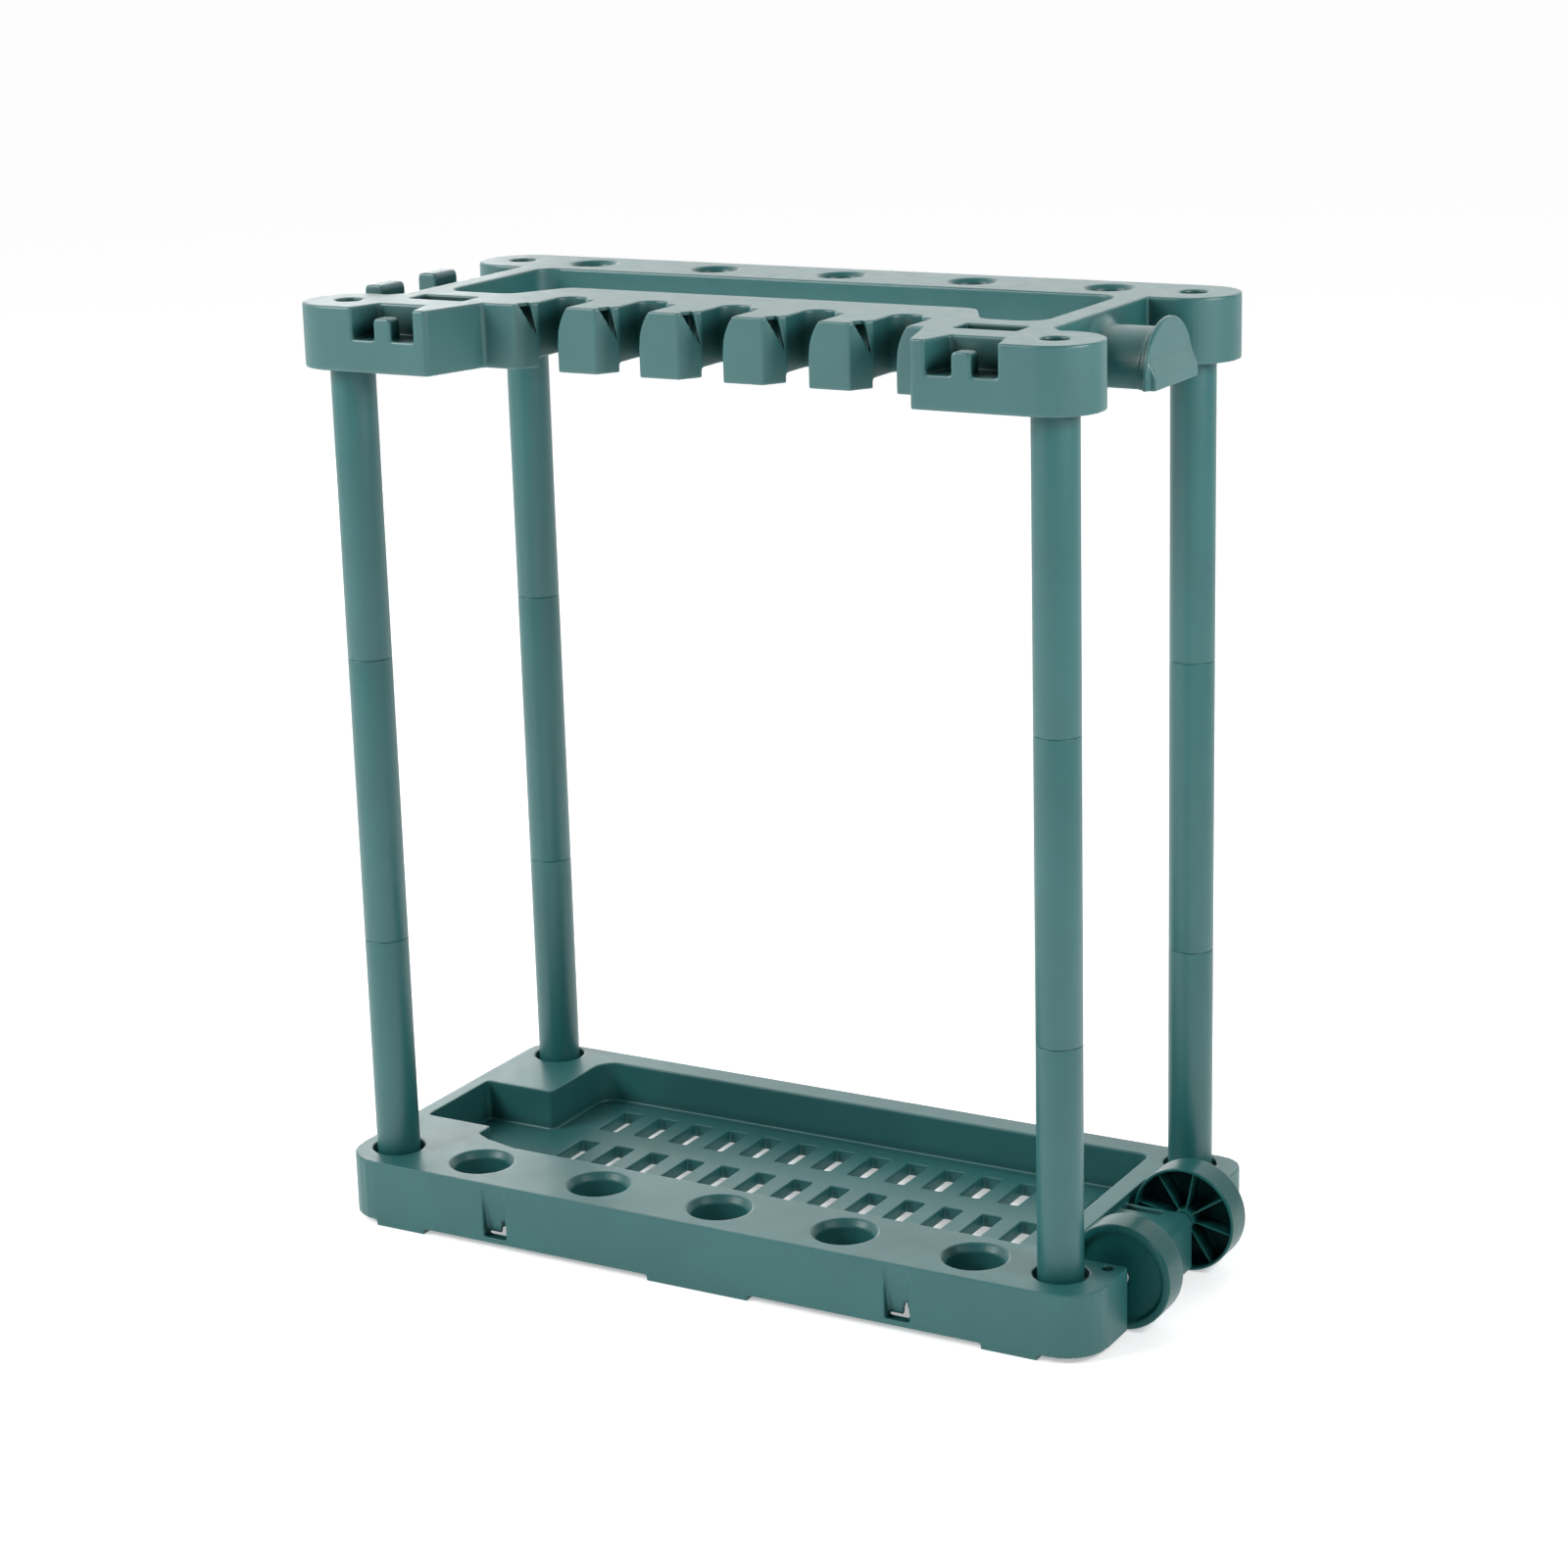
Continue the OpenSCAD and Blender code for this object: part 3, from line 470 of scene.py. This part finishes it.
def turned(name, profile, place=(0, 0, 0), steps=96):
    """A closed shape turned about the upright axis at the place, from its (radius, height) profile."""
    work = bmesh.new()
    line = [work.verts.new((radius, 0, height)) for radius, height in profile]
    edges = [work.edges.new((line[i], line[(i + 1) % len(line)])) for i in range(len(line))]
    bmesh.ops.spin(
        work, geom=line + edges, axis=(0, 0, 1), cent=(0, 0, 0),
        angle=2 * math.pi, steps=steps, use_merge=True,
    )
    bmesh.ops.remove_doubles(work, verts=work.verts, dist=SAME_POINT)
    bmesh.ops.dissolve_degenerate(work, edges=work.edges, dist=SAME_EDGE)
    bmesh.ops.recalc_face_normals(work, faces=work.faces)
    bmesh.ops.translate(work, verts=work.verts, vec=place)
    made = linked(name, work)
    smooth(made.data)
    return made


def arc(centre_r, centre_z, radius, start, end, steps=5):
    """Points of an arc in a profile; the angles are in degrees from the outward direction."""
    points = []
    for i in range(steps + 1):
        t = math.radians(start + (end - start) * i / steps)
        points.append((centre_r + radius * math.cos(t), centre_z + radius * math.sin(t)))
    return points


# A leg tube section: PLATE is the thickness of the spigot's end and of the shoulder inside
TUBE_WALL = 2.3 * MM
SPIGOT_GAP = 0.1 * MM
SPIGOT_LENGTH = 45 * MM
PLATE = 3 * MM
RIM_ROUND = 0.9 * MM
TIP_ROUND = 2.0 * MM
PILOT_R = 2.0 * MM
FOOT_BEVEL = 0.6 * MM


def leg_section(node):
    """A tube section with rounded rims, and a closed spigot on top with a pilot hole for a screw."""
    low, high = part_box(node)
    outer = (high.x - low.x) / 2
    top = high.z - low.z
    height = top - SPIGOT_LENGTH
    bore = outer - TUBE_WALL
    spigot = bore - SPIGOT_GAP
    inner = spigot - TUBE_WALL
    profile = (
        [(bore, FOOT_BEVEL), (bore + FOOT_BEVEL, 0)]
        + arc(outer - RIM_ROUND, RIM_ROUND, RIM_ROUND, -90, 0)
        + arc(outer - RIM_ROUND, height - RIM_ROUND, RIM_ROUND, 0, 90)
        + [(spigot, height)]
        + arc(spigot - TIP_ROUND, top - TIP_ROUND, TIP_ROUND, 0, 90)
        + [(PILOT_R, top), (PILOT_R, top - PLATE), (inner, top - PLATE)]
        + [(inner, height - PLATE), (bore, height - PLATE)]
    )
    middle = (low + high) / 2
    made = turned(node + "_tube", profile, Vector((middle.x, middle.y, low.z)))
    return finished(made, "frame", leg_plastic, "leg_plastic", node)


LEGS = [
    f"leg_{corner}_{level}"
    for corner in ("front_left", "back_left", "front_right", "back_right")
    for level in ("lower", "middle", "upper")
]
for leg in LEGS:
    leg_section(leg)


# Screws, axle and axle caps

# A leg screw
HEAD_HEIGHT = 3 * MM
HEAD_R = 4.5 * MM
HEAD_BEVEL = 0.3 * MM
SHANK_R = 1.95 * MM
SHANK_LENGTH = 14 * MM
THREAD_PITCH = 1.4 * MM
THREAD_DEPTH = 0.45 * MM
TIP_LENGTH = 3 * MM
TIP_R = 0.5 * MM
CROSS_LENGTH = 5 * MM
CROSS_WIDTH = 1.1 * MM
CROSS_DEPTH = 1.7 * MM
FIRST_SCREW_TURN = 0.5
SCREW_TURN_STEP = 0.8

# The axle rod and its caps
ROD_BEVEL = 0.6 * MM
CAP_BORE_R = 4.03 * MM
CAP_END = 1 * MM
CAP_FLANGE = 1.0 * MM
CAP_FLANGE_WIDTH = 1.8 * MM
CAP_FOOT_BEVEL = 0.2 * MM
CAP_BEVEL = 0.3 * MM
CAP_DOME_FOOT = 0.4 * MM


def dome(base_r, rise, top, steps):
    """Points of a dome's profile, from its edge to its middle at the top."""
    radius = (base_r ** 2 + rise ** 2) / (2 * rise)
    spread = math.degrees(math.asin(base_r / radius))
    return arc(0, top - radius, radius, 90 - spread, 90, steps)


def screw_profile():
    """A pan head on a ringed shank with a blunt point; height 0 is the head's seat."""
    core_r = SHANK_R - THREAD_DEPTH
    points = [(0, -SHANK_LENGTH), (TIP_R, -SHANK_LENGTH)]
    for i in range(int((SHANK_LENGTH - TIP_LENGTH) / THREAD_PITCH)):
        low = -SHANK_LENGTH + TIP_LENGTH + i * THREAD_PITCH
        points += [(core_r, low), (SHANK_R, low + THREAD_PITCH / 2)]
    points += [(core_r, 0), (HEAD_R - HEAD_BEVEL, 0), (HEAD_R, HEAD_BEVEL)]
    return points + dome(HEAD_R, HEAD_HEIGHT / 2, HEAD_HEIGHT, 6)


def cross_bar(length_x, length_y):
    """A bar that cuts one stroke of a screw's cross recess."""
    work = bmesh.new()
    corners = bmesh.ops.create_cube(work, size=1)["verts"]
    height = HEAD_HEIGHT + CROSS_DEPTH
    bmesh.ops.scale(work, verts=corners, vec=(length_x, length_y, height))
    bmesh.ops.translate(work, verts=corners, vec=(0, 0, HEAD_HEIGHT - CROSS_DEPTH + height / 2))
    return linked("cross_bar", work)


def screw_mesh():
    """The mesh of one screw with its cross recess."""
    screw = turned("screw", screw_profile(), steps=40)
    bars = [cross_bar(CROSS_LENGTH, CROSS_WIDTH), cross_bar(CROSS_WIDTH, CROSS_LENGTH)]
    for bar in bars:
        cut = screw.modifiers.new("cross", "BOOLEAN")
        cut.solver = "EXACT"
        cut.object = bar
    mesh = modified_mesh(screw)
    for used in bars + [screw]:
        bpy.data.objects.remove(used)
    return mesh


def leg_screws():
    """Four equal screws, one in the top of each leg, each turned by another angle."""
    one = screw_mesh()
    seat_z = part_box("leg_screws")[1].z - HEAD_HEIGHT
    work = bmesh.new()
    for i, leg in enumerate(name for name in LEGS if name.endswith("upper")):
        low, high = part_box(leg)
        middle = (low + high) / 2
        first = len(work.verts)
        work.from_mesh(one)
        work.verts.ensure_lookup_table()
        added = work.verts[first:]
        turn = Matrix.Rotation(FIRST_SCREW_TURN + SCREW_TURN_STEP * i, 3, "Z")
        bmesh.ops.rotate(work, verts=added, matrix=turn)
        bmesh.ops.translate(work, verts=added, vec=(middle.x, middle.y, seat_z))
    made = linked("leg_screws_steel", work)
    return finished(made, "frame", steel, "steel", "leg_screws")


def laid_along_y(made, low_end, direction):
    """Turns a piece made along Z so that it starts at the place and runs along +Y or -Y."""
    made.data.transform(Matrix.Rotation(math.radians(-90 * direction), 4, "X"))
    made.data.transform(Matrix.Translation(low_end))


def axle_rod():
    """A plain rod with bevelled ends."""
    low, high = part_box("axle_rod")
    middle = (low + high) / 2
    r = (high.x - low.x) / 2
    length = high.y - low.y
    profile = [
        (0, 0), (r - ROD_BEVEL, 0), (r, ROD_BEVEL),
        (r, length - ROD_BEVEL), (r - ROD_BEVEL, length), (0, length),
    ]
    made = turned("axle_rod_steel", profile, steps=48)
    laid_along_y(made, Vector((middle.x, low.y, middle.z)), 1)
    return finished(made, "frame", steel, "steel", "axle_rod")


def axle_cap(side, direction):
    """A domed push-on cap with a flat flange."""
    node = f"axle_cap_{side}"
    low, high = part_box(node)
    middle = (low + high) / 2
    r = (high.x - low.x) / 2
    depth = high.y - low.y
    dome_base = r - CAP_FLANGE_WIDTH
    profile = [
        (CAP_BORE_R, 0), (r - CAP_FOOT_BEVEL, 0), (r, CAP_BEVEL),
        (r, CAP_FLANGE - CAP_BEVEL), (r - CAP_BEVEL, CAP_FLANGE), (dome_base + CAP_DOME_FOOT, CAP_FLANGE),
    ]
    profile += dome(dome_base, depth - CAP_FLANGE - CAP_BEVEL, depth, 8)
    profile += [(0, depth - CAP_END), (CAP_BORE_R, depth - CAP_END)]
    made = turned(node + "_steel", profile, steps=64)
    start_y = low.y if direction > 0 else high.y
    laid_along_y(made, Vector((middle.x, start_y, middle.z)), direction)
    return finished(made, "frame", cap_steel, "cap_steel", node)


leg_screws()
axle_rod()
axle_cap("front", -1)
axle_cap("rear", 1)


# Studio

# The floor glows a little, so that it stays white far from the lamps; the room's values are strengths
FLOOR_HALF = 60
FLOOR_COLOUR = (0.93, 0.93, 0.93, 1)
FLOOR_ROUGHNESS = 0.9
FLOOR_GLOW = 0.42
ROOM_DIM = 0.05
ROOM_BRIGHT = 1.75
BRIGHT_SIDE = (-0.6, 0.8, 0)
BRIGHT_START = -0.2
BRIGHT_FULL = 0.9


def make_floor():
    """A large pale floor under the object."""
    mesh = bpy.data.meshes.new("floor")
    corners = [(x * FLOOR_HALF, y * FLOOR_HALF, 0) for x, y in ((-1, -1), (1, -1), (1, 1), (-1, 1))]
    mesh.from_pydata(corners, [], [(0, 1, 2, 3)])
    floor = bpy.data.objects.new("floor", mesh)
    scene.collection.objects.link(floor)
    material, shader, add, join = new_material("floor")
    shader.inputs["Base Color"].default_value = FLOOR_COLOUR
    shader.inputs["Roughness"].default_value = FLOOR_ROUGHNESS
    shader.inputs["Emission Color"].default_value = WHITE
    shader.inputs["Emission Strength"].default_value = FLOOR_GLOW
    mesh.materials.append(material)


def area_light(name, place, aim, size, power):
    """A soft square light at the place, pointing at the aim."""
    data = bpy.data.lights.new(name, "AREA")
    data.shape = "SQUARE"
    data.size = size
    data.energy = power
    light = bpy.data.objects.new(name, data)
    scene.collection.objects.link(light)
    light.location = place
    light.rotation_euler = (Vector(aim) - Vector(place)).to_track_quat("-Z", "Y").to_euler()


def make_world():
    """A room that is dim all round, and bright behind the object and to its left."""
    world = bpy.data.worlds.new("studio")
    world.use_nodes = True
    tree = world.node_tree
    background = tree.nodes["Background"]
    place = tree.nodes.new("ShaderNodeTexCoord")
    along = tree.nodes.new("ShaderNodeVectorMath")
    along.operation = "DOT_PRODUCT"
    along.inputs[1].default_value = BRIGHT_SIDE
    tree.links.new(place.outputs["Generated"], along.inputs[0])
    rise = tree.nodes.new("ShaderNodeMapRange")
    rise.interpolation_type = "SMOOTHSTEP"
    rise.inputs["From Min"].default_value = BRIGHT_START
    rise.inputs["From Max"].default_value = BRIGHT_FULL
    rise.inputs["To Min"].default_value = ROOM_DIM
    rise.inputs["To Max"].default_value = ROOM_BRIGHT
    tree.links.new(along.outputs["Value"], rise.inputs["Value"])
    tree.links.new(rise.outputs["Result"], background.inputs["Strength"])
    background.inputs["Color"].default_value = WHITE
    scene.world = world


make_camera()
make_floor()
make_world()
area_light("key", place=(-2.2, -2.4, 2.4), aim=(0, 0, 0.45), size=1.6, power=106)
area_light("back", place=(-2.7, 3.0, 0.95), aim=(-0.3, 0, 0.8), size=0.7, power=15)
area_light("right", place=(1.5, -0.2, 1.3), aim=(0.35, 0, 0.8), size=0.5, power=15)
area_light("front", place=(1.4, -3.4, 1.8), aim=(0, 0, 0.5), size=1.2, power=8)
area_light("strip", place=(1.9, -1.3, 1.2), aim=(0.3, 0, 0.8), size=0.4, power=4)
scene.view_settings.view_transform = "Standard"
